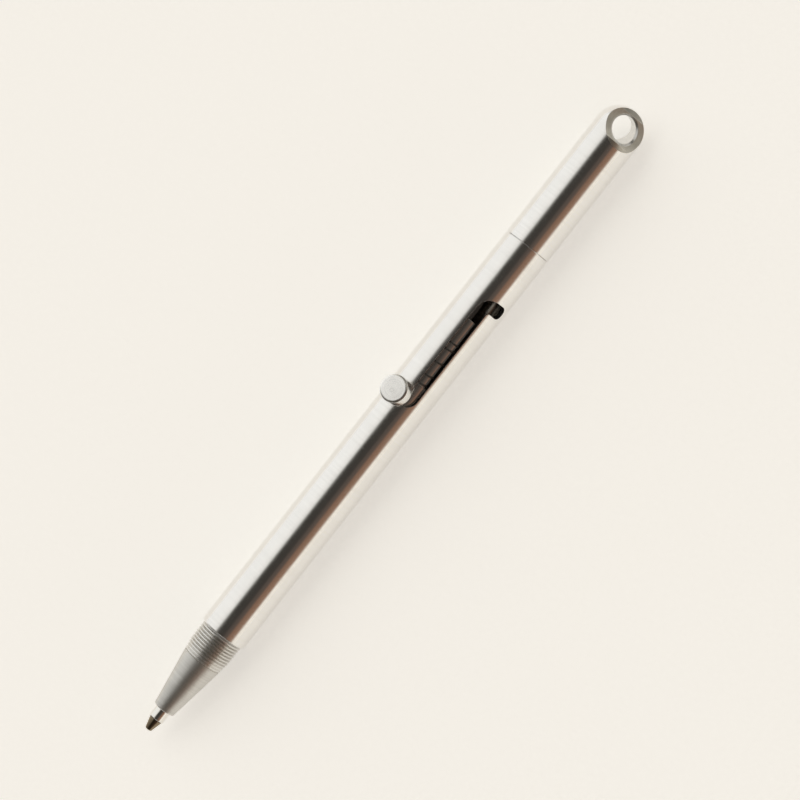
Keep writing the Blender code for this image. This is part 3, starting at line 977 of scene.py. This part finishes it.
def make_floor():
    """A pale matt sheet that keeps the pen's shadow.

    What the camera and the metal see of it is lifted towards white. Light that has met a matt surface
    isn't lifted, so the lift doesn't light the sheet itself.
    """
    shape = bmesh.new()
    bmesh.ops.create_grid(shape, x_segments=1, y_segments=1, size=FLOOR_SIZE / 2)
    mesh = bpy.data.meshes.new("floor")
    shape.to_mesh(mesh)
    shape.free()
    material, nodes, shader = new_material("pale_sheet")
    grain = nodes.noise(nodes.place(), FLOOR_GRAIN_SCALE, detail=3.0)
    pale = nodes.blend(nodes.between(grain, 0.0, 1.0), FLOOR_COLOUR, FLOOR_SHADE)
    path = nodes.add("ShaderNodeLightPath").outputs
    mirrored = nodes.math("MAXIMUM", path["Is Glossy Ray"], path["Is Transmission Ray"])
    seen = nodes.math("MAXIMUM", path["Is Camera Ray"], mirrored)
    direct = nodes.math("LESS_THAN", path["Diffuse Depth"], BEFORE_MATT_BOUNCE)
    glow = nodes.math("MULTIPLY", nodes.math("MULTIPLY", seen, direct), FLOOR_GLOW)
    shader.inputs["Roughness"].default_value = FLOOR_ROUGHNESS
    shader.inputs["Specular IOR Level"].default_value = FLOOR_SPECULAR
    nodes.feed(shader.inputs["Base Color"], pale)
    nodes.feed(shader.inputs["Emission Color"], pale)
    nodes.feed(shader.inputs["Emission Strength"], glow)
    link("floor", mesh, material)


# Light from round the pen, by the angle from straight up towards the camera's side
SKY = [
    (-180, (0.95, 0.95, 0.93)),
    (-60, (0.92, 0.92, 0.90)),
    (-38, (0.92, 0.915, 0.89)),
    (-27, (0.87, 0.86, 0.835)),
    (-17, (0.80, 0.79, 0.76)),
    (-12, (0.48, 0.47, 0.445)),
    (-8, (0.10, 0.095, 0.085)),
    (0, (0.042, 0.038, 0.033)),
    (26, (0.045, 0.040, 0.035)),
    (32, (0.085, 0.068, 0.058)),
    (44, (0.095, 0.075, 0.062)),
    (50, (0.215, 0.125, 0.085)),
    (72, (0.27, 0.16, 0.105)),
    (78, (0.93, 0.88, 0.79)),
    (180, (0.95, 0.92, 0.86)),
]
SKY_STRENGTH = 1.05

# Light from beyond the pen's ends: colour, and the share of the pen's direction where it fades in
END_LIGHTS = [
    ((0.06, 0.052, 0.040), -0.34, -0.80),
    ((0.85, 0.84, 0.81), -0.90, -0.97),
    ((0.46, 0.44, 0.39), 0.36, 0.70),
    ((0.08, 0.075, 0.065), 0.72, 0.80),
    ((0.70, 0.68, 0.64), 0.90, 0.97),
]


def make_sky():
    world = bpy.data.worlds.new("soft_studio")
    bpy.context.scene.world = world
    world.use_nodes = True
    nodes = Nodes(world.node_tree)
    direction = nodes.add("ShaderNodeTexCoord").outputs["Generated"]
    parts = nodes.add("ShaderNodeSeparateXYZ", {0: direction}).outputs
    angle = nodes.math("ARCTAN2", nodes.math("MULTIPLY", parts["Y"], -1.0), parts["Z"])
    ramp = nodes.add("ShaderNodeValToRGB", {"Fac": nodes.math("MULTIPLY_ADD", angle, 1 / (2 * pi), 0.5)})
    stops = ramp.color_ramp.elements
    for i, (degrees, colour) in enumerate(SKY):
        position = degrees / 360 + 0.5
        stop = stops[i] if i < 2 else stops.new(position)
        stop.position = position
        stop.color = (*colour, 1.0)
    light = ramp.outputs["Color"]
    for colour, start, end in END_LIGHTS:
        light = nodes.blend(nodes.between(parts["X"], 0.0, 1.0, source=(start, end)), light, colour)
    background = world.node_tree.nodes["Background"]
    nodes.feed(background.inputs["Color"], light)
    background.inputs["Strength"].default_value = SKY_STRENGTH


# Camera
VIEW_ELEVATION = radians(70.0)
VIEW_LEAN = radians(2.38)
PEN_ROLL = radians(51.85)
VIEW_DISTANCE = 404 * MM
LENS = 117.1
SENSOR = 36.0
AIM = (2.5 * MM, 0.13 * MM, 1.47 * MM)
NEAREST = 10 * MM
FARTHEST = 20.0


def make_camera():
    """Looks down on the bolt from the camera's side, leaning a little towards the tail."""
    off_pen = cos(VIEW_LEAN)
    back = Vector((sin(VIEW_LEAN), -cos(VIEW_ELEVATION) * off_pen, sin(VIEW_ELEVATION) * off_pen))
    pen = (PEN - back * PEN.dot(back)).normalized()
    aside = pen.cross(back)
    right = pen * cos(PEN_ROLL) + aside * sin(PEN_ROLL)
    up = pen * sin(PEN_ROLL) - aside * cos(PEN_ROLL)
    aim_x, aim_right, aim_up = AIM
    target = Vector((aim_x, 0.0, AXIS_Z)) + right * aim_right + up * aim_up
    data = bpy.data.cameras.new("camera")
    data.lens = LENS
    data.sensor_width = SENSOR
    data.clip_start = NEAREST
    data.clip_end = FARTHEST
    camera = bpy.data.objects.new("camera", data)
    bpy.context.scene.collection.objects.link(camera)
    turn = Matrix((right, up, back)).transposed().to_4x4()
    camera.matrix_world = Matrix.Translation(target + back * VIEW_DISTANCE) @ turn
    bpy.context.scene.camera = camera


make_barrel()
make_nose()
make_tail()
make_plunger()
make_bolt()
make_spring()
make_refill()
make_floor()
make_sky()
make_camera()
bpy.context.scene.view_settings.view_transform = "Standard"
